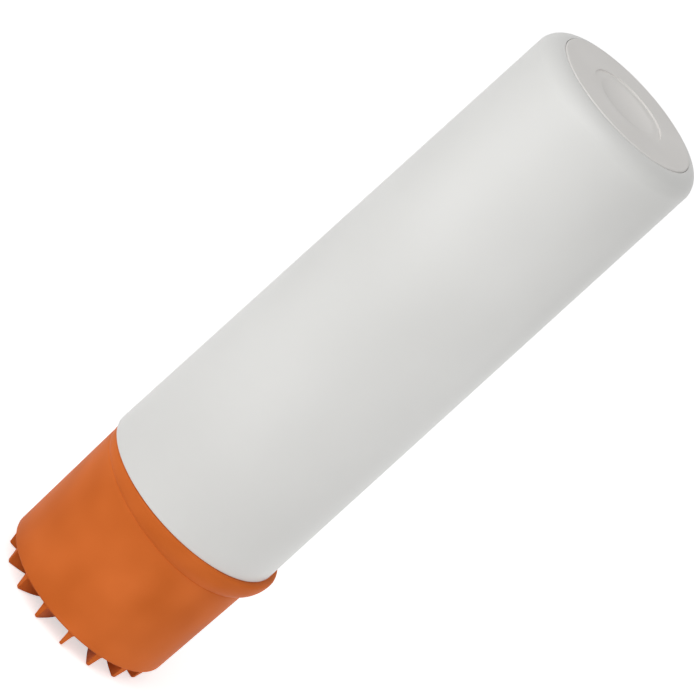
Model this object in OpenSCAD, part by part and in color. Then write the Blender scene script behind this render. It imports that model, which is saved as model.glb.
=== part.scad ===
// Water filter cartridge: a white canister with a welded end disc, an orange base cap
// with an off-centre lip and a ring of blades, and the carbon filter element inside.
// It stands on the tips of its blades at z = 0, with its axis along +Z.

/* [Canister] */
// Outer radius of the canister where it steps onto the cap
canister_r = 27.7; // [26:0.1:34]
// Length of the canister from that step to its flat end
canister_len = 154.05; // [90:0.05:240]
// Draft of the canister wall on each side, in degrees
canister_draft = 0.52; // [0:0.01:0.7]
// Wall thickness of the canister
canister_wall = 2.2; // [1.6:0.1:3]
// Radius of the round shoulder at the closed end
shoulder_r = 5.4; // [4:0.1:6.5]
// Width of the shoulder, from the wall in to the edge of the end disc
shoulder_w = 4.9; // [3:0.1:6]
// How far the neck is stepped in from the canister's outer radius
neck_step = 3.6; // [3:0.1:5]
// Wall thickness of the neck
neck_wall = 2.3; // [1.8:0.1:3]
// Distance from the step down to the snap bead on the neck
bead_drop = 12; // [11:0.5:18]
// How far the snap bead stands out of the neck
bead_rise = 0.35; // [0.2:0.05:0.6]
// Radius of the snap bead's round section
bead_cord = 0.8; // [0.6:0.05:1.1]

/* [End disc] */
// Thickness of the end disc
disc_thick = 3.2; // [2.6:0.1:5]
// How far the end disc stands proud of the canister
disc_proud = 0.25; // [0:0.05:0.5]
// Width of the ledge under the edge of the end disc
ledge_w = 2.75; // [2:0.05:3.5]
// Thickness of that ledge
ledge_thick = 3.2; // [2.8:0.1:5]
// Outer radius of the round recess in the end disc
recess_r = 11.4; // [9.5:0.1:14]
// Depth of the step at the edge of the recess
recess_step = 0.45; // [0.2:0.05:0.8]
// Radius of the dish in the middle of the recess
dish_r = 8.9; // [5:0.1:9.2]
// Depth of the dish below the floor of the recess
dish_depth = 1.1; // [0.5:0.05:1.4]
// Length of the skirt that carries the end disc's seal
skirt_len = 5; // [4.5:0.1:7]
// Wall thickness of the skirt and of the centring collar
skirt_wall = 2.6; // [2.4:0.1:3]
// Length of the collar that centres the filter element
centring_len = 8.5; // [7:0.1:9.5]

/* [Base cap] */
// Length of the cap from its flat base to the top of its lip
cap_len = 39.95; // [36:0.05:60]
// Wall thickness of the cap at its base
cap_wall = 1.85; // [1.2:0.05:2.6]
// Draft of the cap's outer wall, in degrees
cap_draft = 1.05; // [0.3:0.05:1.4]
// Thickness of the cap's floor
cap_floor = 2.5; // [2:0.1:4]
// Radius of the round edge between the cap's wall and its base
cap_edge_r = 0.7; // [0.4:0.1:1.2]
// How far the lip's own radius is larger than the canister's
lip_reach = 0.35; // [0:0.05:1.5]
// How far the lip's centre lies off the axis
lip_offset = 1.4; // [0.6:0.1:3]
// Radius of the swell that carries the lip out of the wall
lip_swell_r = 8; // [6:0.5:14]
// Height of the upright band at the top of the lip
lip_band = 1.4; // [1:0.1:3]
// Radius of the round edge at the top of the lip
lip_edge_r = 0.8; // [0.4:0.1:1]

/* [Blades] */
// Number of blades round the base
blade_count = 16; // [8:1:18]
// Height of a blade below the flat base
blade_h = 5.3; // [3.5:0.05:8]
// Thickness of a blade above its root fillets
blade_thick = 1.6; // [1.2:0.1:2]
// Thickness of a blade at its rounded tip
blade_tip_thick = 0.9; // [0.6:0.1:1.1]
// Radius of the fillets at the root of a blade
blade_fillet_r = 1.2; // [0.4:0.1:1.4]
// Distance from the cap's round edge in to the outer corners of a blade's root
blade_inset = 0.15; // [0.1:0.05:1]
// How far a blade's outer edge leans in from root to tip
blade_lean = 0.7; // [0.2:0.1:1.2]
// Length of the level crest of a blade
blade_crest = 7.9; // [3:0.1:8]
// Length over which the crest runs out at the inner end
blade_runout = 1.8; // [1:0.1:1.9]
// Radius of the round corner at the outer end of the crest
blade_nose_r = 0.9; // [0.4:0.1:1.2]
// Angle of the first blade from the front
blade_phase = 10.1; // [0:0.1:22]
// Angle by which a blade is turned from the radial direction
blade_skew = -10.5; // [-20:0.5:0]

/* [Ports] */
// Radius of the hole in the cap's floor and of the well above it
well_r = 13; // [12.6:0.1:13.2]
// Depth of the well, from the flat base of the cap up to its floor
well_depth = 8; // [7:0.1:12]
// Wall thickness of the well
well_wall = 2.3; // [2.1:0.1:2.6]
// Thickness of the well's floor
port_floor = 2.5; // [2:0.1:4]
// Outer radius of the outlet spigot
spigot_r = 6; // [5.6:0.1:6.6]
// Width of the collar at the spigot's root, under the outlet seal
spigot_collar_w = 0.5; // [0.3:0.1:0.8]
// Radius of the outlet bore
outlet_r = 3; // [2:0.1:3.3]
// Thickness of the closure's flange under the neck
flange_thick = 2.5; // [2:0.1:4]
// Length of the closure's plug inside the neck
plug_len = 6.5; // [5.5:0.1:10]
// Wall thickness of the closure's plug
plug_wall = 3; // [2.8:0.1:3.3]
// Number of inlet ports round the spigot
port_count = 8; // [4:1:10]
// Radius of one inlet port
port_r = 1.4; // [0.8:0.1:1.6]
// Radius of the circle on which the inlet ports lie
port_circle_r = 9.9; // [9.6:0.1:10.2]
// Number of ribs between the well and the plug
rib_count = 8; // [4:1:12]
// Thickness of one rib
rib_thick = 1.2; // [0.8:0.1:2]
// Height of one rib
rib_h = 5.75; // [4:0.25:7]
// Bore radius of the socket that holds the filter element
socket_r = 5.6; // [5.4:0.1:6]
// Depth of that socket
socket_depth = 13.5; // [12:0.1:20]
// Height of the socket's floor above the closure's floor
socket_lift = 0.5; // [0:0.1:2]
// Wall thickness of the socket
socket_wall = 1.8; // [1.4:0.1:2.2]

/* [Inlet valve] */
// Thickness of the rubber flap over the inlet ports
flap_thick = 1; // [0.6:0.1:1.5]
// How far the flap reaches past the inlet ports
flap_cover = 0.8; // [0.4:0.1:1.2]
// Height of the flap's thick inner hub
flap_hub_h = 2.2; // [1.6:0.1:3]
// Width of that hub
flap_hub_w = 1.2; // [0.8:0.1:1.4]
// Height of the retaining ring on the hub
retainer_h = 1.5; // [1:0.1:2.5]
// Width of the retaining ring
retainer_w = 2.2; // [1.4:0.1:2.6]

/* [Filter element] */
// Radius of the bore through the lower end cap
element_bore_r = 3.3; // [2.4:0.1:3.4]
// Thickness of an end cap's plate
plate_thick = 2.5; // [1.8:0.1:4]
// Height of an end cap's rim round the filter element
rim_h = 6; // [4:0.5:10]
// Wall thickness of that rim
rim_wall = 1; // [0.8:0.1:1.4]
// Outer radius of the upper end cap's round boss
boss_r = 11.9; // [9:0.1:12.4]
// Height of that boss
boss_h = 10.4; // [10:0.1:14]
// Wall thickness of that boss
boss_wall = 1.8; // [1.2:0.1:3]
// Thickness of the glue between a plate and the carbon block
glue_thick = 0.8; // [0.4:0.1:1.5]
// Thickness of the fleece wrap round the block
wrap_thick = 0.8; // [0.5:0.1:1.5]
// Thickness of one layer of the netting's strands
strand_thick = 0.35; // [0.3:0.05:0.5]
// Width of one strand
strand_w = 0.9; // [0.6:0.1:1.4]
// Number of upright strands in the netting
strand_count = 12; // [8:1:20]
// Number of ring strands in the netting
ring_count = 10; // [6:1:14]
// Outer radius of the perforated core tube
core_r = 5.9; // [5.2:0.1:7]
// Wall thickness of the core tube
core_wall = 1.2; // [0.8:0.1:1.4]
// Radius of one hole in the core tube
core_hole_r = 1.1; // [0.6:0.1:1.3]
// Number of rows of holes along the core tube
core_rows = 10; // [6:1:16]
// Thickness of the fleece sleeve round the core tube
sleeve_thick = 0.5; // [0.3:0.1:1]

/* [Seals and fits] */
// Section radius of the end disc's seal
end_seal_cord = 0.8; // [0.6:0.05:0.9]
// Section radius of the neck's seal
neck_seal_cord = 0.75; // [0.6:0.05:0.9]
// Section radius of the inlet seal in the well
inlet_seal_cord = 0.9; // [0.7:0.05:1]
// Section radius of the outlet seal at the root of the spigot
outlet_seal_cord = 0.9; // [0.7:0.05:1]
// Section radius of the seals on the filter element's spigot
spigot_seal_cord = 0.7; // [0.6:0.05:0.8]
// Distance between those two seals
spigot_seal_pitch = 4.8; // [3:0.1:6]
// How far the inlet seal stands out of its groove into the well
inlet_seal_stand = 0.55; // [0.3:0.05:0.7]
// How much taller a seal's groove is than the seal
groove_room = 0.25; // [0.1:0.05:0.4]
// Gap between a seal and the walls that hold it
seal_gap = 0.03; // [0.02:0.01:0.06]
// Gap between a plug or neck and its bore
plug_gap = 0.1; // [0.05:0.01:0.2]
// Width of the seam round the end disc
seam_gap = 0.12; // [0.05:0.01:0.3]
// Gap between layers that are wound or pushed on each other
layer_gap = 0.05; // [0.02:0.01:0.1]
// Gap between the end caps' rims and the neck they pass through
element_gap = 0.5; // [0.3:0.05:1]

/* [Hidden] */
$fn = 96;
// Length by which a cutting shape runs past the face it cuts
over = 1;
// How deep a blade's root fillets end inside the floor
root_sink = 0.05;
// Points on a quarter turn of a small rounded outline
arc_steps = 4;

white = [0.87, 0.87, 0.86];
orange = [0.80, 0.42, 0.20];
natural = [0.93, 0.92, 0.88];
black = [0.12, 0.12, 0.13];
silicone = [0.75, 0.30, 0.25];
fleece = [0.96, 0.96, 0.94];
glue = [0.95, 0.93, 0.84];

// Heights, from the blade tips up
base_z = blade_h;
floor_z = base_z + cap_floor;
neck_z = floor_z + flange_thick;
seat_z = base_z + cap_len;
end_z = seat_z + canister_len;
well_z = base_z + well_depth;
port_top_z = well_z + port_floor;
port_mid_z = (well_z + port_top_z) / 2;
socket_z = port_top_z + socket_lift;
element_z = socket_z + socket_depth;
block_z = element_z + plate_thick + glue_thick;
disc_z = end_z + disc_proud - disc_thick;
boss_top_z = disc_z - plug_gap;
upper_plate_z = boss_top_z - boss_h - plate_thick;
block_top_z = upper_plate_z - glue_thick;
ledge_z = disc_z - ledge_thick;
hub_top_z = port_top_z + flap_hub_h;
bead_z = seat_z - bead_drop;

// Radii of the canister and its end
canister_top_r = canister_r - (canister_len - shoulder_r) * tan(canister_draft);
disc_r = canister_top_r - shoulder_w;
rim_bore_r = disc_r - ledge_w;
skirt_r = rim_bore_r - plug_gap;
neck_r = canister_r - neck_step;
neck_bore_r = neck_r - neck_wall;
bead_r = neck_r + bead_rise - bead_cord;

// Radii of the cap and the closure, and the place of a blade's outer root
cap_bore_r = neck_r + plug_gap;
cap_base_r = cap_bore_r + cap_wall;
cap_top_r = cap_base_r + cap_len * tan(cap_draft);
lip_r = canister_r + lip_reach;
blade_root_w = blade_thick + 2 * blade_fillet_r;
blade_root_r = cap_base_r - cap_edge_r - blade_inset - blade_root_w / 2 * sin(abs(blade_skew));
plug_r = neck_bore_r - plug_gap;
plug_bore_r = plug_r - plug_wall;
well_outer_r = well_r + well_wall;
socket_outer_r = socket_r + socket_wall;

// Radii of the filter element, from the neck inwards
rim_r = neck_bore_r - element_gap;
rim_bore = rim_r - rim_wall;
net_r = rim_bore - layer_gap;
wrap_r = net_r - 2 * strand_thick - layer_gap;
block_r = wrap_r - wrap_thick - layer_gap;
sleeve_bore_r = core_r + layer_gap;
block_bore_r = sleeve_bore_r + sleeve_thick + layer_gap;
element_spigot_r = socket_r - plug_gap;
element_spigot_len = socket_depth - plug_gap;

// Centre line radius of each seal
end_seal_r = rim_bore_r - seal_gap - end_seal_cord;
neck_seal_r = neck_bore_r - seal_gap - neck_seal_cord;
inlet_seal_r = well_r + inlet_seal_cord - inlet_seal_stand;
outlet_seal_r = spigot_r + spigot_collar_w + seal_gap + outlet_seal_cord;
spigot_seal_r = socket_r - seal_gap - spigot_seal_cord;

// Height of each seal's centre
end_seal_z = disc_z - ledge_thick / 2;
neck_seal_z = neck_z + plug_len / 2;
inlet_seal_z = (floor_z + well_z) / 2;
outlet_seal_z = well_z - seal_gap - outlet_seal_cord;
spigot_seal_z = [for (side = [-1, 1]) (socket_z + element_z + side * spigot_seal_pitch) / 2];

// Points of a circular arc about a centre, from angle a to angle b
function arc(centre, r, a, b, steps) =
    [for (i = [0:steps]) centre + r * [cos(a + (b - a) * i / steps), sin(a + (b - a) * i / steps)]];

// Flat ring of revolution between two radii and two heights
module ring(bore, outer, low, high) {
    rotate_extrude() translate([bore, low]) square([outer - bore, high - low]);
}

// Seal of round section
module o_ring(ring_r, cord, z) {
    translate([0, 0, z]) rotate_extrude() translate([ring_r, 0]) circle(r = cord, $fn = 32);
}

// Section of the square groove that holds a seal, open on the side towards the mating wall
module groove(ring_r, cord, z) {
    reach = cord + seal_gap;
    height = 2 * cord + groove_room;
    translate([ring_r - reach, z - height / 2]) square([2 * reach + over, height]);
}

// Canister wall, turned section
module canister_outside() {
    round_x = canister_top_r - shoulder_r;
    round_z = end_z - shoulder_r;
    polygon([[0, neck_z],
             [neck_r, neck_z],
             [neck_r, seat_z],
             [canister_r, seat_z],
             [round_x + shoulder_r * cos(canister_draft), round_z + shoulder_r * sin(canister_draft)],
             [round_x, end_z],
             [0, end_z]]);
    translate([round_x, round_z]) circle(r = shoulder_r);
    translate([bead_r, bead_z]) circle(r = bead_cord);
}

module canister_inside() {
    slope = tan(canister_draft);
    bore_r = canister_r - canister_wall;
    polygon([[0, neck_z - over],
             [neck_bore_r, neck_z - over],
             [neck_bore_r, seat_z],
             [bore_r - slope * neck_step, seat_z + neck_step],
             [bore_r - slope * (ledge_z - seat_z), ledge_z],
             [0, ledge_z]]);
    square([rim_bore_r, end_z + over]);
    translate([0, disc_z]) square([disc_r, disc_thick + over]);
}

module canister() {
    color(white)
    rotate_extrude()
    difference() {
        canister_outside();
        canister_inside();
    }
}

// End disc with its stepped recess, seal skirt and centring collar
module end_disc() {
    top_z = disc_z + disc_thick;
    edge_r = disc_r - seam_gap;
    round_r = disc_proud + seam_gap;
    step_z = top_z - recess_step;
    dish_ball_r = (dish_r * dish_r + dish_depth * dish_depth) / (2 * dish_depth);
    color(white)
    difference() {
        rotate_extrude() {
            square_top(edge_r, disc_z, top_z, round_r);
            translate([skirt_r - skirt_wall, disc_z - skirt_len]) square([skirt_wall, skirt_len + over]);
            translate([boss_r + plug_gap, disc_z - centring_len]) square([skirt_wall, centring_len + over]);
        }
        rotate_extrude() groove(end_seal_r, end_seal_cord, end_seal_z);
        translate([0, 0, step_z]) cylinder(r = recess_r, h = recess_step + over);
        translate([0, 0, step_z - dish_depth + dish_ball_r]) sphere(r = dish_ball_r);
    }
}

// Section of a plain disc with a round top edge
module square_top(r, low, high, round_r) {
    translate([0, low]) square([r, high - low - round_r]);
    translate([0, low]) square([r - round_r, high - low]);
    translate([r - round_r, high - round_r]) circle(r = round_r);
}

module end_disc_seal() {
    color(black) o_ring(end_seal_r, end_seal_cord, end_seal_z);
}

// Section of the cap's drafted wall with its round bottom edge
module cap_wall_section() {
    round_z = base_z + cap_edge_r;
    round_x = cap_base_r - cap_edge_r;
    polygon([[0, base_z],
             [round_x, base_z],
             [round_x + cap_edge_r * cos(cap_draft), round_z - cap_edge_r * sin(cap_draft)],
             [cap_top_r, seat_z],
             [0, seat_z]]);
    translate([round_x, round_z]) circle(r = cap_edge_r);
}

// Section of the lip: a swell that ends in an upright band with a round top edge
module lip_section() {
    swell_z = seat_z - lip_band;
    translate([lip_r - lip_swell_r, swell_z]) intersection() {
        circle(r = lip_swell_r, $fn = 192);
        translate([0, -lip_swell_r]) square([lip_swell_r, lip_swell_r]);
    }
    square_top(lip_r, swell_z, seat_z, lip_edge_r);
}

// Side view of a blade, outer end at x = 0
module blade_side() {
    nose = [-blade_lean - blade_nose_r, blade_nose_r - blade_h];
    crest_end = nose[0] - blade_crest;
    polygon(concat(
        [[0, over], [0, 0]],
        arc(nose, blade_nose_r, 0, -90, arc_steps),
        [[crest_end, -blade_h],
         [crest_end - blade_runout, -blade_fillet_r],
         [crest_end - blade_runout, over]]));
}

// Half of the view along a blade: round tip, drafted flank and root fillet
function blade_half() =
    let (tip_r = blade_tip_thick / 2)
    concat(
        arc([0, tip_r - blade_h], tip_r, -90, 0, arc_steps),
        arc([blade_root_w / 2, root_sink - blade_fillet_r], blade_fillet_r, 180, 90, arc_steps),
        [[blade_root_w / 2, over]]);

module blade_end() {
    half = blade_half();
    count = len(half);
    polygon(concat(half, [for (i = [count - 1:-1:1]) [-half[i][0], half[i][1]]]));
}

module blade() {
    reach = 2 * (blade_lean + blade_nose_r + blade_crest + blade_runout);
    intersection() {
        rotate([90, 0, 0]) linear_extrude(reach, center = true) blade_side();
        rotate([90, 0, 90]) linear_extrude(reach, center = true) blade_end();
    }
}

// Orange base cap: drafted cup, off-centre lip and the ring of blades
module base_cap() {
    color(orange)
    difference() {
        union() {
            rotate_extrude() cap_wall_section();
            translate([lip_offset, 0, 0]) rotate_extrude() lip_section();
            for (i = [0:blade_count - 1])
                rotate(blade_phase - 90 + i * 360 / blade_count)
                translate([blade_root_r, 0, base_z])
                rotate(blade_skew)
                blade();
        }
        translate([0, 0, floor_z]) cylinder(r = cap_bore_r, h = cap_len);
        translate([0, 0, -over]) cylinder(r = well_r, h = floor_z + 2 * over);
        translate([0, 0, bead_z]) rotate_extrude() translate([bead_r, 0]) circle(r = bead_cord + plug_gap);
    }
}

// White closure under the neck: flange, plug, port well, outlet spigot and element socket
module base_closure() {
    color(natural)
    difference() {
        union() {
            ring(well_r, neck_r, floor_z, neck_z);
            ring(plug_bore_r, plug_r, floor_z, neck_z + plug_len);
            ring(well_r, well_outer_r, floor_z, port_top_z);
            ring(0, well_outer_r, well_z, port_top_z);
            ring(0, spigot_r, 0, port_mid_z);
            ring(0, spigot_r + spigot_collar_w, well_z - 2 * (outlet_seal_cord + seal_gap), port_mid_z);
            ring(0, socket_outer_r, port_mid_z, element_z);
            for (i = [0:rib_count - 1])
                rotate(i * 360 / rib_count)
                translate([well_outer_r - over, -rib_thick / 2, floor_z])
                cube([plug_bore_r - well_outer_r + 2 * over, rib_thick, rib_h]);
        }
        rotate_extrude() groove(neck_seal_r, neck_seal_cord, neck_seal_z);
        rotate_extrude() well_groove();
        translate([0, 0, -over]) cylinder(r = outlet_r, h = element_z);
        translate([0, 0, socket_z]) cylinder(r = socket_r, h = socket_depth + over);
        for (i = [0:port_count - 1])
            rotate((i + 0.5) * 360 / port_count)
            translate([port_circle_r, 0, well_z - over])
            cylinder(r = port_r, h = port_floor + 2 * over, $fn = 32);
    }
}

// Section of the groove in the well's wall, open towards the axis
module well_groove() {
    reach = inlet_seal_cord + seal_gap;
    height = 2 * inlet_seal_cord + groove_room;
    translate([well_r - over, inlet_seal_z - height / 2])
    square([inlet_seal_r + reach - well_r + over, height]);
}

module neck_seal() {
    color(black) o_ring(neck_seal_r, neck_seal_cord, neck_seal_z);
}

module inlet_seal() {
    color(black) o_ring(inlet_seal_r, inlet_seal_cord, inlet_seal_z);
}

module outlet_seal() {
    color(black) o_ring(outlet_seal_r, outlet_seal_cord, outlet_seal_z);
}

// Rubber flap that closes the inlet ports against backflow
module inlet_valve() {
    bore = socket_outer_r + plug_gap;
    color(silicone) {
        ring(bore, port_circle_r + port_r + flap_cover, port_top_z, port_top_z + flap_thick);
        ring(bore, bore + flap_hub_w, port_top_z, hub_top_z);
    }
}

module valve_retainer() {
    bore = socket_outer_r + plug_gap;
    color(natural) ring(bore, bore + retainer_w, hub_top_z, hub_top_z + retainer_h);
}

// Cup that closes one end of the filter element, rim upwards from z = 0
module element_cup() {
    cylinder(r = rim_r, h = plate_thick);
    ring(rim_bore, rim_r, 0, plate_thick + rim_h);
}

// Lower end cap with the spigot that plugs into the closure
module lower_end_cap() {
    color(natural)
    difference() {
        union() {
            translate([0, 0, element_z]) element_cup();
            ring(0, element_spigot_r, element_z - element_spigot_len, element_z + plate_thick / 2);
        }
        for (z = spigot_seal_z)
            rotate_extrude() groove(spigot_seal_r, spigot_seal_cord, z);
        translate([0, 0, socket_z - over])
        cylinder(r = element_bore_r, h = socket_depth + plate_thick + 2 * over);
    }
}

module lower_spigot_seal() {
    color(black) o_ring(spigot_seal_r, spigot_seal_cord, spigot_seal_z[0]);
}

module upper_spigot_seal() {
    color(black) o_ring(spigot_seal_r, spigot_seal_cord, spigot_seal_z[1]);
}

module lower_glue_bed() {
    color(glue) ring(core_r + layer_gap, net_r, element_z + plate_thick, block_z);
}

module upper_glue_bed() {
    color(glue) ring(core_r + layer_gap, net_r, block_top_z, upper_plate_z);
}

module carbon_block() {
    color(black) ring(block_bore_r, block_r, block_z, block_top_z);
}

module sediment_wrap() {
    color(fleece) ring(block_r + layer_gap, wrap_r, block_z, block_top_z);
}

// Netting sleeve: upright strands with ring strands welded on outside them
module wrap_netting() {
    bore = wrap_r + layer_gap;
    weld = strand_thick / 4;
    pitch = (block_top_z - block_z - strand_w) / (ring_count - 1);
    color(natural) {
        translate([0, 0, block_z]) linear_extrude(block_top_z - block_z)
        intersection() {
            difference() {
                circle(r = bore + strand_thick);
                circle(r = bore);
            }
            for (i = [0:strand_count - 1])
                rotate(i * 360 / strand_count) translate([0, -strand_w / 2]) square([net_r, strand_w]);
        }
        rotate_extrude()
        for (i = [0:ring_count - 1])
            translate([bore + strand_thick - weld, block_z + i * pitch])
            square([net_r - bore - strand_thick + weld, strand_w]);
    }
}

// Perforated tube that collects the filtered water
module core_tube() {
    low = element_z + plate_thick;
    length = upper_plate_z - low;
    pitch = length / core_rows;
    color(natural)
    difference() {
        ring(core_r - core_wall, core_r, low, upper_plate_z);
        for (row = [0:core_rows - 1])
            for (turn = [0:1])
                translate([0, 0, low + pitch * (row + 0.5)])
                rotate([90, 0, 90 * turn + 45 * (row % 2)])
                cylinder(r = core_hole_r, h = 2 * core_r + over, center = true, $fn = 24);
    }
}

module core_sleeve() {
    color(fleece) ring(sleeve_bore_r, sleeve_bore_r + sleeve_thick, block_z, block_top_z);
}

// Upper end cap, closed, with the round boss that the end disc's collar centres
module upper_end_cap() {
    color(natural) {
        translate([0, 0, upper_plate_z + plate_thick]) mirror([0, 0, 1]) element_cup();
        ring(boss_r - boss_wall, boss_r, upper_plate_z, boss_top_z);
    }
}

canister();
end_disc();
end_disc_seal();
base_cap();
base_closure();
neck_seal();
inlet_seal();
outlet_seal();
inlet_valve();
valve_retainer();
lower_end_cap();
lower_spigot_seal();
upper_spigot_seal();
lower_glue_bed();
carbon_block();
sediment_wrap();
wrap_netting();
core_tube();
core_sleeve();
upper_glue_bed();
upper_end_cap();
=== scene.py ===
from math import acos, atan2, cos, degrees, exp, hypot, pi, radians, sin, sqrt, tan

import bmesh
import bpy
from mathutils import Matrix, Vector


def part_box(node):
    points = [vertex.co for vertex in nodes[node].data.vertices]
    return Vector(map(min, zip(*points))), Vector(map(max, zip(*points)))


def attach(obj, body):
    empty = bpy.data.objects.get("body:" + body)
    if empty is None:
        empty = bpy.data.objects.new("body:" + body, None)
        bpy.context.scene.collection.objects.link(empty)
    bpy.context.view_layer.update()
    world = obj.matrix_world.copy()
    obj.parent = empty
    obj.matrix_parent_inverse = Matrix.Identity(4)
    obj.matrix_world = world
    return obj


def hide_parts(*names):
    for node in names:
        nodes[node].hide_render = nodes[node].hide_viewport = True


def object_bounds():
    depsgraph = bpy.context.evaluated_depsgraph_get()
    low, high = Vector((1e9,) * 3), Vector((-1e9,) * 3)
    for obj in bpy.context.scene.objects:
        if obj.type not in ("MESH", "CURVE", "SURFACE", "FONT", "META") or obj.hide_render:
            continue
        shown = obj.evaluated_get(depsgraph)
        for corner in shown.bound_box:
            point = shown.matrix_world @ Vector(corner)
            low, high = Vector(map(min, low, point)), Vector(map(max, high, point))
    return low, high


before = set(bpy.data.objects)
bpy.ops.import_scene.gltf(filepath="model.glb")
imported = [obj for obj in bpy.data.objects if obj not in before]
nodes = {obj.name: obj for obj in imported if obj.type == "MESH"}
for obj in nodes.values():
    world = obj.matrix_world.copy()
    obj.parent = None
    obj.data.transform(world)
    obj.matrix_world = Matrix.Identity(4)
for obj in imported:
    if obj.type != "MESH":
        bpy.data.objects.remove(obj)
cadLow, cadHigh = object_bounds()
mm = 0.001  # the frame is in metres, and the sizes below are in millimetres
weldGap = 1e-7  # metres: points closer than this are one point
print("frame loaded,", len(nodes), "nodes")


# Places read from the frame, in millimetres

def lowest(node):
    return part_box(node)[0].z / mm


def highest(node):
    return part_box(node)[1].z / mm


def reach(node):
    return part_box(node)[1].y / mm  # the lip is off centre along X only, so Y gives a radius


baseCapTop = highest("base_cap")  # the canister sits here
canisterEnd = highest("canister")
canisterRadius = reach("canister")
print("cap top at", round(baseCapTop, 2), "mm, canister radius", round(canisterRadius, 2), "mm")


# Mesh helpers

def arcPoints(centreX, centreY, radius, start, end, steps):
    angles = [radians(start + (end - start) * i / steps) for i in range(steps + 1)]
    return [(centreX + radius * cos(a), centreY + radius * sin(a)) for a in angles]


cornerRule = {
    "mostOfSide": 0.49,  # share of a side that one round edge may take
    "holdRun": 0.3,  # a holding point lies at most this share of the edge's run beside it
    "holdSide": 0.02,  # and at most this share of the side plus the length below
    "holdLeast": 0.01,
}


def roundCorners(corners, steps, rule=cornerRule):
    # each corner is (radius, height, size of its round edge); a holding point keeps the flats flat
    outline = []
    count = len(corners)
    for i, (x, y, size) in enumerate(corners):
        here = Vector((x, y))
        before = Vector(corners[i - 1][:2]) - here
        after = Vector(corners[(i + 1) % count][:2]) - here
        if size == 0 or before.length == 0 or after.length == 0:
            outline.append((x, y))
            continue
        back, on = before.normalized(), after.normalized()
        half = acos(max(-1, min(1, back.dot(on)))) / 2
        run = min(size / tan(half), before.length * rule["mostOfSide"], after.length * rule["mostOfSide"])
        size = run * tan(half)
        holds = [min(run * rule["holdRun"], side.length * rule["holdSide"] + rule["holdLeast"])
                 for side in (before, after)]
        middle = here + (back + on).normalized() * hypot(run, size)
        first, last = here + back * run, here + on * run
        outline.append(tuple(first + back * holds[0]))
        start = atan2(first.y - middle.y, first.x - middle.x)
        sweep = (atan2(last.y - middle.y, last.x - middle.x) - start + pi) % (2 * pi) - pi
        outline += arcPoints(middle.x, middle.y, size, degrees(start), degrees(start + sweep), steps)
        outline.append(tuple(last + on * holds[1]))
    return outline


def loftLoops(mesh, loops, closedSection=True):
    # quads between neighbouring loops of points, all the way round; an open section has two ends
    rows = [[mesh.verts.new((x * mm, y * mm, z * mm)) for x, y, z in loop] for loop in loops]
    last = len(rows[0]) if closedSection else len(rows[0]) - 1
    for i, row in enumerate(rows):
        beside = rows[(i + 1) % len(rows)]
        for k in range(last):
            n = (k + 1) % len(row)
            mesh.faces.new((row[k], row[n], beside[n], beside[k]))


def turnOutline(mesh, outline, steps, closedSection=True):
    loops = []
    for i in range(steps):
        a = 2 * pi * i / steps
        loops.append([(r * cos(a), r * sin(a), z) for r, z in outline])
    loftLoops(mesh, loops, closedSection)


def closeHub(mesh, steps):
    # the first and last points of an open section leave a small hole each round the axis
    mesh.verts.ensure_lookup_table()
    perLoop = len(mesh.verts) // steps
    for place in (0, perLoop - 1):
        mesh.faces.new([mesh.verts[i * perLoop + place] for i in range(steps)])


def smoothMax(a, b, width):
    share = max(width - abs(a - b), 0) / width
    return max(a, b) + share * share * width / 4


def smoothMin(a, b, width):
    return -smoothMax(-a, -b, width)


def makePiece(name, mesh, replaced, material):
    bmesh.ops.remove_doubles(mesh, verts=mesh.verts, dist=weldGap)
    bmesh.ops.recalc_face_normals(mesh, faces=mesh.faces)
    data = bpy.data.meshes.new(name)
    mesh.to_mesh(data)
    mesh.free()
    data.polygons.foreach_set("use_smooth", [True] * len(data.polygons))
    data.materials.append(material)
    piece = bpy.data.objects.new(name, data)
    bpy.context.scene.collection.objects.link(piece)
    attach(piece, "root")
    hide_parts(replaced)
    return piece


# Shader helpers

def addNode(tree, kind, **values):
    node = tree.nodes.new("ShaderNode" + kind)
    for key, value in values.items():
        setattr(node, key, value)
    return node


def setInputs(node, **values):
    for key, value in values.items():
        node.inputs[key.replace("_", " ")].default_value = value
    return node


def newGroup(name, inputs, outputs):
    group = bpy.data.node_groups.new(name, "ShaderNodeTree")
    for label, kind, value in inputs:
        socket = group.interface.new_socket(label, in_out="INPUT", socket_type="NodeSocket" + kind)
        socket.default_value = value
    for label, kind in outputs:
        group.interface.new_socket(label, in_out="OUTPUT", socket_type="NodeSocket" + kind)
    return group, group.nodes.new("NodeGroupInput"), group.nodes.new("NodeGroupOutput")


def placeGroup(tree, group, **values):
    node = tree.nodes.new("ShaderNodeGroup")
    node.node_tree = group
    return setInputs(node, **values)


def newMaterial(name, **shaderValues):
    material = bpy.data.materials.new(name)
    material.use_nodes = True
    shader = material.node_tree.nodes["Principled BSDF"]
    setInputs(shader, **shaderValues)
    return material, material.node_tree, shader


def noiseField(tree, size, detail, roughness=0.5, place=None):
    # noise whose lumps are about as many millimetres across as the size socket says
    place = place or addNode(tree, "TexCoord").outputs["Object"]
    noise = addNode(tree, "TexNoise")
    setInputs(noise, Detail=detail, Roughness=roughness)
    scale = addNode(tree, "Math", operation="DIVIDE")
    scale.inputs[0].default_value = 1 / mm
    tree.links.new(place, noise.inputs["Vector"])
    tree.links.new(size, scale.inputs[1])
    tree.links.new(scale.outputs[0], noise.inputs["Scale"])
    return noise.outputs["Fac"]


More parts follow.
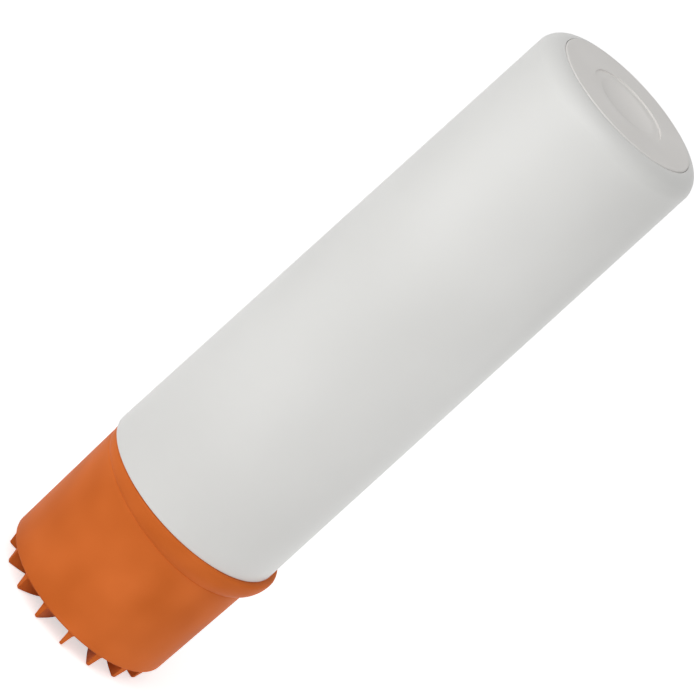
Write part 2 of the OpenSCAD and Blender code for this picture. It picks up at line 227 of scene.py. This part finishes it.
def buildSoftClouds():
    # wide soft patches between a lighter and a darker tone
    group, given, result = newGroup(
        "softClouds",
        [("Dark", "Color", (0.5, 0.5, 0.5, 1)), ("Light", "Color", (0.6, 0.6, 0.6, 1)),
         ("Patch Size", "Float", 20.0)],
        [("Color", "Color")])
    wide = noiseField(group, given.outputs["Patch Size"], detail=1.0)
    spread = addNode(group, "MapRange", clamp=True)
    setInputs(spread, From_Min=0.32, From_Max=0.68)
    blend = addNode(group, "Mix", data_type="RGBA")
    group.links.new(wide, spread.inputs["Value"])
    group.links.new(spread.outputs["Result"], blend.inputs["Factor"])
    group.links.new(given.outputs["Dark"], blend.inputs["A"])
    group.links.new(given.outputs["Light"], blend.inputs["B"])
    group.links.new(blend.outputs["Result"], result.inputs["Color"])
    return group


def buildMouldedSkin():
    # eroded mould skin: a fine grain over slow waves, and roughness that wanders a little
    group, given, result = newGroup(
        "mouldedSkin",
        [("Grain Size", "Float", 0.3), ("Wave Size", "Float", 9.0), ("Wave Share", "Float", 0.3),
         ("Roughness", "Float", 0.4), ("Roughness Swing", "Float", 0.08)],
        [("Height", "Float"), ("Roughness", "Float")])
    grain = noiseField(group, given.outputs["Grain Size"], detail=3.0, roughness=0.6)
    wave = noiseField(group, given.outputs["Wave Size"], detail=1.0)
    mixHeight = addNode(group, "Mix", data_type="FLOAT")
    group.links.new(given.outputs["Wave Share"], mixHeight.inputs["Factor"])
    group.links.new(grain, mixHeight.inputs["A"])
    group.links.new(wave, mixHeight.inputs["B"])
    centred = addNode(group, "Math", operation="SUBTRACT")
    centred.inputs[1].default_value = 0.5
    swing = addNode(group, "Math", operation="MULTIPLY_ADD", use_clamp=True)
    group.links.new(wave, centred.inputs[0])
    group.links.new(centred.outputs[0], swing.inputs[0])
    group.links.new(given.outputs["Roughness Swing"], swing.inputs[1])
    group.links.new(given.outputs["Roughness"], swing.inputs[2])
    group.links.new(mixHeight.outputs["Result"], result.inputs["Height"])
    group.links.new(swing.outputs[0], result.inputs["Roughness"])
    return group


def buildFeltFibres():
    # non-woven fleece: crossing fibres, pulled long in two directions, over soft lumps
    group, given, result = newGroup(
        "feltFibres",
        [("Fibre Size", "Float", 0.25), ("Stretch", "Float", 6.0), ("Lump Size", "Float", 4.0),
         ("Lump Share", "Float", 0.4)],
        [("Height", "Float"), ("Fibres", "Float")])
    place = addNode(group, "TexCoord")
    layTurns = {"Z": (0.4, 0.0, 0.9), "X": (1.7, 0.7, -0.7)}  # radians, by the axis of the fibres
    strands = []
    for axis, angles in layTurns.items():
        turn = addNode(group, "Mapping")
        turn.inputs["Rotation"].default_value = angles
        scale = addNode(group, "CombineXYZ")
        setInputs(scale, X=1.0, Y=1.0, Z=1.0)
        longer = addNode(group, "Math", operation="DIVIDE")
        longer.inputs[0].default_value = 1.0
        group.links.new(given.outputs["Stretch"], longer.inputs[1])
        group.links.new(longer.outputs[0], scale.inputs[axis])
        group.links.new(place.outputs["Object"], turn.inputs["Vector"])
        group.links.new(scale.outputs[0], turn.inputs["Scale"])
        strands.append(noiseField(group, given.outputs["Fibre Size"], detail=2.0, roughness=0.6,
                                  place=turn.outputs[0]))
    cross = addNode(group, "Math", operation="MAXIMUM")
    lumps = noiseField(group, given.outputs["Lump Size"], detail=1.0)
    total = addNode(group, "Mix", data_type="FLOAT")
    group.links.new(given.outputs["Lump Share"], total.inputs["Factor"])
    group.links.new(strands[0], cross.inputs[0])
    group.links.new(strands[1], cross.inputs[1])
    group.links.new(cross.outputs[0], total.inputs["A"])
    group.links.new(lumps, total.inputs["B"])
    group.links.new(total.outputs["Result"], result.inputs["Height"])
    group.links.new(cross.outputs[0], result.inputs["Fibres"])
    return group


def buildPackedGrains():
    # pressed granules or trapped bubbles: round cells with darker gaps between them
    group, given, result = newGroup(
        "packedGrains",
        [("Grain Size", "Float", 0.6), ("Gap Depth", "Float", 0.8)],
        [("Height", "Float"), ("Shade", "Float")])
    place = addNode(group, "TexCoord")
    scale = addNode(group, "Math", operation="DIVIDE")
    scale.inputs[0].default_value = 1 / mm
    cells = addNode(group, "TexVoronoi", feature="F1")
    dome = addNode(group, "Math", operation="MULTIPLY_ADD", use_clamp=True)
    dome.inputs[2].default_value = 1.0
    deeper = addNode(group, "Math", operation="MULTIPLY")
    deeper.inputs[1].default_value = -1.0
    tint = addNode(group, "SeparateColor")
    group.links.new(given.outputs["Grain Size"], scale.inputs[1])
    group.links.new(place.outputs["Object"], cells.inputs["Vector"])
    group.links.new(scale.outputs[0], cells.inputs["Scale"])
    group.links.new(given.outputs["Gap Depth"], deeper.inputs[0])
    group.links.new(cells.outputs["Distance"], dome.inputs[0])
    group.links.new(deeper.outputs[0], dome.inputs[1])
    group.links.new(cells.outputs["Color"], tint.inputs["Color"])
    group.links.new(dome.outputs[0], result.inputs["Height"])
    group.links.new(tint.outputs["Red"], result.inputs["Shade"])
    return group


softClouds = buildSoftClouds()
mouldedSkin = buildMouldedSkin()
feltFibres = buildFeltFibres()
packedGrains = buildPackedGrains()


def blendTones(tree, mask, dark, light, target):
    # colour between two tones, chosen by a mask
    blend = addNode(tree, "Mix", data_type="RGBA")
    blend.inputs["A"].default_value = dark + (1,)
    blend.inputs["B"].default_value = light + (1,)
    tree.links.new(mask, blend.inputs["Factor"])
    tree.links.new(blend.outputs["Result"], target)


def raiseBump(tree, height, strength, depth, target):
    bump = addNode(tree, "Bump")
    setInputs(bump, Strength=strength, Distance=depth * mm)
    tree.links.new(height, bump.inputs["Height"])
    tree.links.new(bump.outputs["Normal"], target)


def plasticFinish(name, look, **shaderValues):
    material, tree, shader = newMaterial(name, **shaderValues)
    clouds = placeGroup(tree, softClouds, Dark=look["dark"] + (1,), Light=look["light"] + (1,),
                        Patch_Size=look["patch"])
    skin = placeGroup(tree, mouldedSkin, Grain_Size=look["grain"], Wave_Size=look["wave"],
                      Wave_Share=look["waveShare"], Roughness=look["roughness"],
                      Roughness_Swing=look["swing"])
    tree.links.new(clouds.outputs["Color"], shader.inputs["Base Color"])
    tree.links.new(skin.outputs["Roughness"], shader.inputs["Roughness"])
    raiseBump(tree, skin.outputs["Height"], look["bump"], look["depth"], shader.inputs["Normal"])
    return material


def fleeceFinish(name, look):
    material, tree, shader = newMaterial(name, Roughness=look["roughness"], Sheen_Weight=look["sheen"])
    felt = placeGroup(tree, feltFibres, Fibre_Size=look["fibre"], Stretch=look["stretch"],
                      Lump_Size=look["lump"], Lump_Share=look["lumpShare"])
    blendTones(tree, felt.outputs["Fibres"], look["dark"], look["light"], shader.inputs["Base Color"])
    raiseBump(tree, felt.outputs["Height"], look["bump"], look["depth"], shader.inputs["Normal"])
    return material


def grainFinish(name, look, **shaderValues):
    material, tree, shader = newMaterial(name, Roughness=look["roughness"], **shaderValues)
    grains = placeGroup(tree, packedGrains, Grain_Size=look["grain"], Gap_Depth=look["gap"])
    blendTones(tree, grains.outputs["Shade"], look["dark"], look["light"], shader.inputs["Base Color"])
    raiseBump(tree, grains.outputs["Height"], look["bump"], look["depth"], shader.inputs["Normal"])
    return material


# Looks: two tones, sizes in millimetres, and bump as strength and depth

whiteLook = {
    "dark": (0.72, 0.718, 0.70), "light": (0.77, 0.768, 0.75), "patch": 45.0,
    "grain": 0.25, "wave": 14.0, "waveShare": 0.3, "roughness": 0.34, "swing": 0.06,
    "bump": 0.25, "depth": 0.05,
}
# end disc: the canister's white painted lighter, as painted light standing in for the light that its low
# gloss does not reflect
discLookWithPaintedLight = dict(whiteLook, dark=(0.82, 0.80, 0.775), light=(0.86, 0.84, 0.815), patch=18.0, roughness=0.5)
closureLook = dict(whiteLook, dark=(0.72, 0.715, 0.70), light=(0.78, 0.775, 0.76), patch=9.0, roughness=0.38)
orangeLook = {
    "dark": (0.61, 0.134, 0.022), "light": (0.73, 0.172, 0.035), "patch": 16.0,
    "grain": 0.3, "wave": 9.0, "waveShare": 0.35, "roughness": 0.5, "swing": 0.12,
    "bump": 0.3, "depth": 0.06,
}
naturalLook = dict(whiteLook, dark=(0.72, 0.70, 0.62), light=(0.80, 0.78, 0.70), patch=12.0, roughness=0.35)
nettingLook = dict(naturalLook, dark=(0.76, 0.76, 0.71), light=(0.84, 0.84, 0.80), patch=6.0, grain=0.15)
sealLook = {
    "dark": (0.012, 0.012, 0.013), "light": (0.020, 0.020, 0.022), "patch": 4.0,
    "grain": 0.12, "wave": 3.0, "waveShare": 0.4, "roughness": 0.38, "swing": 0.1,
    "bump": 0.2, "depth": 0.02,
}
valveLook = dict(sealLook, dark=(0.30, 0.050, 0.032), light=(0.38, 0.070, 0.045), roughness=0.5)
fleeceLook = {
    "dark": (0.70, 0.70, 0.67), "light": (0.88, 0.88, 0.86),
    "fibre": 0.25, "stretch": 6.0, "lump": 4.0, "lumpShare": 0.4, "roughness": 0.9, "sheen": 0.3,
    "bump": 0.5, "depth": 0.15,
}
carbonLook = {
    "dark": (0.006, 0.006, 0.006), "light": (0.024, 0.024, 0.026),
    "grain": 0.7, "gap": 0.9, "roughness": 0.85,
    "bump": 0.6, "depth": 0.15,
}
glueLook = {
    "dark": (0.70, 0.63, 0.45), "light": (0.80, 0.74, 0.57),
    "grain": 1.6, "gap": 0.5, "roughness": 0.3,
    "bump": 0.25, "depth": 0.1,
}
canisterWhite = plasticFinish("canisterWhite", whiteLook, Specular_IOR_Level=0.32)
# the end disc's material carries painted light: its white is painted lighter than the canister's
discWhiteWithPaintedLight = plasticFinish("discWhiteWithPaintedLight", discLookWithPaintedLight, Specular_IOR_Level=0.03)
closureWhite = plasticFinish("closureWhite", closureLook)
capOrange = plasticFinish("capOrange", orangeLook, Specular_IOR_Level=0.05)
naturalPlastic = plasticFinish("naturalPlastic", naturalLook, Subsurface_Weight=0.1, Subsurface_Scale=mm)
nettingPlastic = plasticFinish("nettingPlastic", nettingLook)
sealRubber = plasticFinish("sealRubber", sealLook)
valveRubber = plasticFinish("valveRubber", valveLook)
whiteFleece = fleeceFinish("whiteFleece", fleeceLook)
blackCarbon = grainFinish("blackCarbon", carbonLook)
setGlue = grainFinish("setGlue", glueLook, Subsurface_Weight=0.2, Subsurface_Scale=mm)
print("materials made")


# Canister shell

canisterSize = {
    "bottomEdge": 0.35,  # round edge where it steps onto the cap
    "shoulder": 5.4,  # radius of the round shoulder at the closed end
    "shoulderWidth": 4.9,  # from the wall in to the seam
    "shoulderTurn": 8.0,  # degrees by which the shoulder turns off the wall at once
    "draft": 0.52,  # degrees a side
    "wall": 2.2,
    "neckStep": 3.6,
    "neckWall": 2.3,
    "neckEdge": 0.3,
    "beadDrop": 12.0,
    "beadRise": 0.35,
    "beadCord": 0.8,
    "seamEdge": 0.08,
    "ledgeWidth": 2.75,
    "ledgeThick": 3.2,
    "discThick": 3.2,
    "discProud": 0.25,
    "shoulderSteps": 32,
    "beadSteps": 8,
    "cornerSteps": 12,
    "steps": 288,  # round the axis
}


def discSeat(size):
    # radius and height of the ledge that the end disc sits on
    slope = tan(radians(size["draft"]))
    wall = canisterRadius - slope * (canisterEnd - baseCapTop - size["shoulder"])
    return wall - size["shoulderWidth"], canisterEnd + size["discProud"] - size["discThick"]


def buildCanister(size):
    slope = tan(radians(size["draft"]))
    neck = canisterRadius - size["neckStep"]
    neckBore = neck - size["neckWall"]
    bore = canisterRadius - size["wall"]
    seat, discLow = discSeat(size)
    ledgeLow = discLow - size["ledgeThick"]
    beadHeight = baseCapTop - size["beadDrop"]
    beadMiddle = neck + size["beadRise"] - size["beadCord"]
    spread = degrees(acos((neck - beadMiddle) / size["beadCord"]))
    middleRadius = seat + size["shoulderWidth"] - size["shoulder"]
    middleHeight = canisterEnd - size["shoulder"]
    seamTurn = degrees(acos((seat + size["seamEdge"] - middleRadius) / size["shoulder"]))
    bead = arcPoints(beadMiddle, beadHeight, size["beadCord"], -spread, spread, size["beadSteps"])
    shoulder = arcPoints(middleRadius, middleHeight, size["shoulder"], size["shoulderTurn"], seamTurn,
                         size["shoulderSteps"])
    neckLow = lowest("canister")
    corners = [(neckBore, neckLow, 0), (neck, neckLow, size["neckEdge"])]
    corners += [(x, y, 0) for x, y in bead]
    corners += [(neck, baseCapTop, 0), (canisterRadius, baseCapTop, size["bottomEdge"])]
    corners += [(x, y, 0) for x, y in shoulder]
    corners += [
        (seat, shoulder[-1][1] - size["seamEdge"], 0),
        (seat, discLow, 0),
        (seat - size["ledgeWidth"], discLow, 0),
        (seat - size["ledgeWidth"], ledgeLow, 0),
        (bore - slope * (ledgeLow - baseCapTop), ledgeLow, 0),
        (bore - slope * size["neckStep"], baseCapTop + size["neckStep"], 0),
        (neckBore, baseCapTop, 0),
    ]
    mesh = bmesh.new()
    turnOutline(mesh, roundCorners(corners, size["cornerSteps"]), size["steps"])
    return makePiece("canisterShell", mesh, "canister", canisterWhite)


buildCanister(canisterSize)
print("canister built")


# End disc with its stepped recess and dish

discSize = {
    "seam": 0.12,  # width of the seam round it
    "edge": 0.37,  # round edge beside the seam
    "recess": 11.4,
    "recessStep": 0.45,
    "stepEdge": 0.12,
    "dish": 8.9,
    "dishDepth": 1.4,
    "dishEdge": 0.9,  # width over which the dish rolls into the recess floor
    "skirtLength": 5.0,
    "skirtWall": 2.6,
    "skirtGap": 0.1,
    "collarBore": 12.0,
    "collarLength": 8.5,
    "grooveDepth": 1.66,
    "grooveHeight": 1.85,
    "hub": 0.3,  # radius of the small flat that closes the underside
    "dishSteps": 40,
    "cornerSteps": 8,
    "steps": 288,  # round the axis
}


def dishOutline(size, floorHeight):
    # from the axis out to where the recess floor is level again
    ball = (size["dish"] ** 2 + size["dishDepth"] ** 2) / (2 * size["dishDepth"])
    reachOut = size["dish"] + size["dishEdge"]
    points = []
    for i in range(1, size["dishSteps"] + 1):
        r = reachOut * i / size["dishSteps"]
        bowl = size["dishDepth"] - ball + sqrt(ball ** 2 - r ** 2)
        depth = smoothMax(bowl, 0, size["dishEdge"] * size["dishDepth"] / size["dish"])
        points.append((r, floorHeight - depth))
    return points


def buildDisc(size, canister):
    seat, low = discSeat(canister)
    top = low + canister["discThick"]
    edge = seat - size["seam"]
    stepHeight = top - size["recessStep"]
    skirt = seat - canister["ledgeWidth"] - size["skirtGap"]
    sealHeight = low - canister["ledgeThick"] / 2
    grooveTop, grooveLow = (sealHeight + side * size["grooveHeight"] / 2 for side in (1, -1))
    inner = skirt - size["skirtWall"]
    collar = size["collarBore"] + size["skirtWall"]
    corners = [(x, y, 0) for x, y in dishOutline(size, stepHeight)]
    corners += [
        (size["recess"], stepHeight, size["stepEdge"]),
        (size["recess"], top, size["stepEdge"]),
        (edge, top, size["edge"]),
        (edge, low, 0),
        (skirt, low, 0),
        (skirt, grooveTop, 0),
        (skirt - size["grooveDepth"], grooveTop, 0),
        (skirt - size["grooveDepth"], grooveLow, 0),
        (skirt, grooveLow, 0),
        (skirt, low - size["skirtLength"], 0),
        (inner, low - size["skirtLength"], 0),
        (inner, low, 0),
        (collar, low, 0),
        (collar, low - size["collarLength"], 0),
        (size["collarBore"], low - size["collarLength"], 0),
        (size["collarBore"], low, 0),
        (size["hub"], low, 0),
    ]
    mesh = bmesh.new()
    turnOutline(mesh, roundCorners(corners, size["cornerSteps"]), size["steps"], closedSection=False)
    closeHub(mesh, size["steps"])
    return makePiece("endDisc", mesh, "end_disc", discWhiteWithPaintedLight)


buildDisc(discSize, canisterSize)
print("end disc built")


# Base cap with its off-centre lip and blades

capSize = {
    "bore": 24.2,
    "wall": 1.85,
    "draft": 1.05,
    "floor": 2.5,
    "baseEdge": 0.7,
    "lipOffset": 1.4,
    "swellRadius": 8.0,
    "lipBand": 1.4,
    "lipEdge": 1.1,
    "crease": 0.05,  # width over which the lip blends into the wall
    "creaseLine": 0.13,  # depth of the fine line in that crease
    "backFlare": 0.3,  # how far the rim flares out where the lip has faded
    "hole": 13.0,
    "boreEdge": 0.3,  # bevel at the top of the bore
    "holeBevel": ((0.3, 0.0), (0.15, 0.05), (0.0, 0.2)),  # points out and up from the hole's lower edge
    "hold": 0.1,  # from a round edge to the point that keeps the flat beside it flat
    "edgeSteps": 8,
    "lipRows": 88,
    "wallRows": 12,
    "steps": 288,  # round the axis
}
bladeSize = {
    "count": 16,
    "height": 5.3,
    "thick": 1.6,
    "tipThick": 0.9,
    "fillet": 1.2,
    "inset": 0.15,
    "lean": 0.7,
    "crest": 7.9,
    "belly": 1.2,  # rise of the crest towards its inner end
    "runout": 1.8,
    "nose": 0.9,
    "phase": 10.1,
    "skew": -10.5,
    "blend": 0.5,  # size of the round edges between a blade's faces
    "sink": 0.05,
    "foot": 0.25,  # length over which the run-out drops into the base
    "faceSteps": 8,
    "tipSteps": 6,
    "runoutSteps": 10,
}


def capSections(size, blade):
    base = blade["height"]
    baseRadius = size["bore"] + size["wall"]
    lipRadius = reach("base_cap")
    swellLow = baseCapTop - size["lipBand"]

    def lipAt(angle, z):
        drop = max(swellLow - z, 0)
        if drop >= size["swellRadius"]:
            return 0
        radius = lipRadius - size["swellRadius"] + sqrt(size["swellRadius"] ** 2 - drop ** 2)
        side = size["lipOffset"] * sin(angle)
        if radius <= abs(side):
            return 0
        flare = size["backFlare"] * min(cos(angle), 0) ** 2
        return size["lipOffset"] * cos(angle) + flare + sqrt(radius ** 2 - side ** 2)

    def outside(angle, z):
        wall = baseRadius + (z - base) * tan(radians(size["draft"]))
        lip = lipAt(angle, z)
        line = size["creaseLine"] * exp(-((wall - lip) / size["creaseLine"]) ** 2)
        return smoothMax(wall, lip, size["crease"]) - line

    edge = size["lipEdge"]
    top = baseCapTop - edge
    low = base + size["baseEdge"]
    dense = size["swellRadius"] + size["lipBand"]
    lipRows, wallRows = size["lipRows"], size["wallRows"]
    heights = [top - (dense - edge) * i / lipRows for i in range(lipRows + 1)]
    heights += [heights[-1] + (low - heights[-1]) * i / wallRows for i in range(1, wallRows + 1)]
    floorTop = base + size["floor"]
    loops = []
    for i in range(size["steps"]):
        angle = 2 * pi * i / size["steps"]
        rim = outside(angle, baseCapTop)
        section = [(size["bore"], floorTop), (size["bore"], baseCapTop - size["boreEdge"]),
                   (size["bore"] + size["boreEdge"], baseCapTop), (rim - edge - size["hold"], baseCapTop)]
        section += arcPoints(rim - edge, top, edge, 90, 0, size["edgeSteps"])[:-1]
        section += [(outside(angle, z), z) for z in heights]
        foot = outside(angle, low) - size["baseEdge"]
        section += arcPoints(foot, low, size["baseEdge"], 0, -90, size["edgeSteps"])[1:]
        section.append((foot - size["hold"], base))
        section += [(size["hole"] + out, base + up) for out, up in size["holeBevel"]]
        section.append((size["hole"], floorTop))
        loops.append([(r * cos(angle), r * sin(angle), z) for r, z in section])
    return loops


def bladeGrid(size):
    # depth below the cap's base along the blade and across it; the smaller one wins, softly
    steps, sink, fillet, nose = size["faceSteps"], size["sink"], size["fillet"], size["nose"]
    crestStart = -size["lean"] - nose
    crestEnd = crestStart - size["crest"]
    crestLow = size["height"] - size["belly"]
    straight = size["height"] - nose
    along = [(0.0, -sink)]
    along += [(-size["lean"] * i / steps, straight * i / steps) for i in range(1, steps)]
    along += [(x, -z) for x, z in arcPoints(crestStart, -straight, nose, 0, -90, steps)]
    along += [(crestStart - size["crest"] * i / steps, size["height"] - size["belly"] * (i / steps) ** 2)
              for i in range(1, steps + 1)]
    for i in range(1, size["runoutSteps"] + 1):
        turn = pi / 2 * i / size["runoutSteps"]
        along.append((crestEnd - size["runout"] * sin(turn), fillet + (crestLow - fillet) * cos(turn)))
    along.append((crestEnd - size["runout"] - size["foot"], -sink))
    tip = size["tipThick"] / 2
    rootHalf = size["thick"] / 2
    filletTop = fillet - sink
    across = [(y, -z) for y, z in arcPoints(0, tip - size["height"], tip, -90, 0, size["tipSteps"])]
    flankY, flankDepth = across[-1]
    across += [(flankY + (rootHalf - flankY) * i / steps, flankDepth + (filletTop - flankDepth) * i / steps)
               for i in range(1, steps)]
    across += [(y, -z) for y, z in arcPoints(rootHalf + fillet, -filletTop, fillet, 180, 90, steps)]
    across = [(-y, depth) for y, depth in reversed(across[1:])] + across
    return [[(x, y, -max(smoothMin(depthX, depthY, size["blend"]), -sink)) for y, depthY in across]
            for x, depthX in along]


def addBlades(mesh, size, baseRadius, baseEdge):
    rootWidth = size["thick"] + 2 * size["fillet"]
    rootRadius = baseRadius - baseEdge - size["inset"] - rootWidth / 2 * sin(radians(abs(size["skew"])))
    grid = bladeGrid(size)
    for i in range(size["count"]):
        turn = radians(size["phase"] - 90 + 360 * i / size["count"])
        place = Matrix.Rotation(turn, 4, "Z")
        place = place @ Matrix.Translation((rootRadius * mm, 0, size["height"] * mm))
        place = place @ Matrix.Rotation(radians(size["skew"]), 4, "Z")
        rows = [[mesh.verts.new(place @ (Vector(point) * mm)) for point in row] for row in grid]
        for row, beside in zip(rows, rows[1:]):
            for k in range(len(row) - 1):
                mesh.faces.new((row[k], row[k + 1], beside[k + 1], beside[k]))
        border = rows[0] + [row[-1] for row in rows[1:-1]]
        border += rows[-1][::-1] + [row[0] for row in rows[-2:0:-1]]
        mesh.faces.new(border)


def buildCap(size, blade):
    mesh = bmesh.new()
    loftLoops(mesh, capSections(size, blade))
    addBlades(mesh, blade, size["bore"] + size["wall"], size["baseEdge"])
    return makePiece("baseCap", mesh, "base_cap", capOrange)


buildCap(capSize, bladeSize)
print("base cap built")


# Finishes of the pieces that keep their packed form

nodeFinishes = {
    "canister": canisterWhite,
    "end_disc": discWhiteWithPaintedLight,
    "base_cap": capOrange,
    "base_closure": closureWhite,
    "inlet_valve": valveRubber,
    "valve_retainer": naturalPlastic,
    "lower_end_cap": naturalPlastic,
    "upper_end_cap": naturalPlastic,
    "core_tube": naturalPlastic,
    "lower_glue_bed": setGlue,
    "upper_glue_bed": setGlue,
    "carbon_block": blackCarbon,
    "sediment_wrap": whiteFleece,
    "core_sleeve": whiteFleece,
    "wrap_netting": nettingPlastic,
}

for name, node in nodes.items():
    node.data.materials.clear()
    node.data.materials.append(nodeFinishes.get(name, sealRubber))


# Floor, background and lights

studio = {
    "background": 1.0,
    "ambient": 0.45,
    "floorTone": 0.9,
    "floorRoughness": 0.9,
    "floorGlow": 0.6,  # lifts the floor to white where the camera sees it
    "floorSize": 6000.0,
}
lamps = {
    # azimuth from the viewer's side towards +X, sizes in mm, brightness as radiance
    "softbox": {"azimuth": -45, "distance": 330, "height": 185,
                "width": 300, "tall": 220, "brightness": 1.15},
    "front": {"azimuth": -20, "distance": 700, "height": 700,
              "width": 800, "tall": 800, "brightness": 1.4},
    "side": {"azimuth": 75, "distance": 300, "height": 35,
             "width": 500, "tall": 160, "brightness": 1.05},
}


def seenRays(tree):
    # 1 where the camera sees the surface, directly or mirrored in gloss
    path = addNode(tree, "LightPath")
    total = path.outputs["Is Camera Ray"]
    for kind in ("Is Glossy Ray", "Is Transmission Ray"):
        both = addNode(tree, "Math", operation="MAXIMUM")
        tree.links.new(total, both.inputs[0])
        tree.links.new(path.outputs[kind], both.inputs[1])
        total = both.outputs[0]
    return total


def buildWorld(look):
    world = bpy.data.worlds.new("studioWorld")
    bpy.context.scene.world = world
    world.use_nodes = True
    tree = world.node_tree
    light = tree.nodes["Background"]
    setInputs(light, Color=(1, 1, 1, 1), Strength=look["ambient"])
    seen = addNode(tree, "Background")
    setInputs(seen, Color=(1, 1, 1, 1), Strength=look["background"])
    mix = addNode(tree, "MixShader")
    tree.links.new(seenRays(tree), mix.inputs["Fac"])
    tree.links.new(light.outputs[0], mix.inputs[1])
    tree.links.new(seen.outputs[0], mix.inputs[2])
    tree.links.new(mix.outputs[0], tree.nodes["World Output"].inputs["Surface"])


def buildFloor(look):
    half = look["floorSize"] / 2 * mm
    corners = [(-half, -half, 0), (half, -half, 0), (half, half, 0), (-half, half, 0)]
    data = bpy.data.meshes.new("floor")
    data.from_pydata(corners, [], [(0, 1, 2, 3)])
    tone = look["floorTone"]
    material, tree, shader = newMaterial("floorPaper", Base_Color=(tone, tone, tone, 1),
                                         Roughness=look["floorRoughness"])
    setInputs(shader, Emission_Color=(1, 1, 1, 1))
    glow = addNode(tree, "Math", operation="MULTIPLY")
    glow.inputs[1].default_value = look["floorGlow"]
    tree.links.new(seenRays(tree), glow.inputs[0])
    tree.links.new(glow.outputs[0], shader.inputs["Emission Strength"])
    data.materials.append(material)
    floor = bpy.data.objects.new("floor", data)
    bpy.context.scene.collection.objects.link(floor)


def buildLamps(lamps):
    middle = Vector((0, 0, (cadLow.z + cadHigh.z) / 2))
    for name, lamp in lamps.items():
        azimuth = radians(lamp["azimuth"])
        across, near = sin(azimuth) * lamp["distance"], cos(azimuth) * lamp["distance"]
        place = Vector((across, -near, lamp["height"])) * mm
        data = bpy.data.lights.new(name, "AREA")
        data.shape = "RECTANGLE"
        data.size = lamp["width"] * mm
        data.size_y = lamp["tall"] * mm
        data.energy = lamp["brightness"] * pi * data.size * data.size_y
        light = bpy.data.objects.new(name, data)
        light.location = place
        light.rotation_euler = (middle - place).to_track_quat("-Z", "Y").to_euler()
        bpy.context.scene.collection.objects.link(light)


buildWorld(studio)
buildFloor(studio)
buildLamps(lamps)
bpy.context.scene.view_settings.view_transform = "Standard"
print("studio built")


# Camera

cameraPlace = {
    "distance": 1197.0,  # from the point that it looks at
    "elevation": 20.41,  # degrees above the horizon
    "axisTilt": 42.22,  # degrees from image right up to the cartridge's axis
    "aim": (-1.337, 0.0, 103.054),
    "lens": 245.6,
}


def buildCamera(place):
    elevation, tilt = radians(place["elevation"]), radians(place["axisTilt"])
    ahead = Vector((0, cos(elevation), -sin(elevation)))
    upright = Vector((0, sin(elevation), cos(elevation)))
    sideways = Vector((1, 0, 0))
    right = upright * cos(tilt) + sideways * sin(tilt)
    up = upright * sin(tilt) - sideways * cos(tilt)
    location = (Vector(place["aim"]) - ahead * place["distance"]) * mm
    data = bpy.data.cameras.new("studioCamera")
    data.lens = place["lens"]
    camera = bpy.data.objects.new("studioCamera", data)
    turn = Matrix((right, up, -ahead)).transposed()
    camera.matrix_world = Matrix.Translation(location) @ turn.to_4x4()
    bpy.context.scene.collection.objects.link(camera)
    bpy.context.scene.camera = camera


buildCamera(cameraPlace)
print("camera placed")
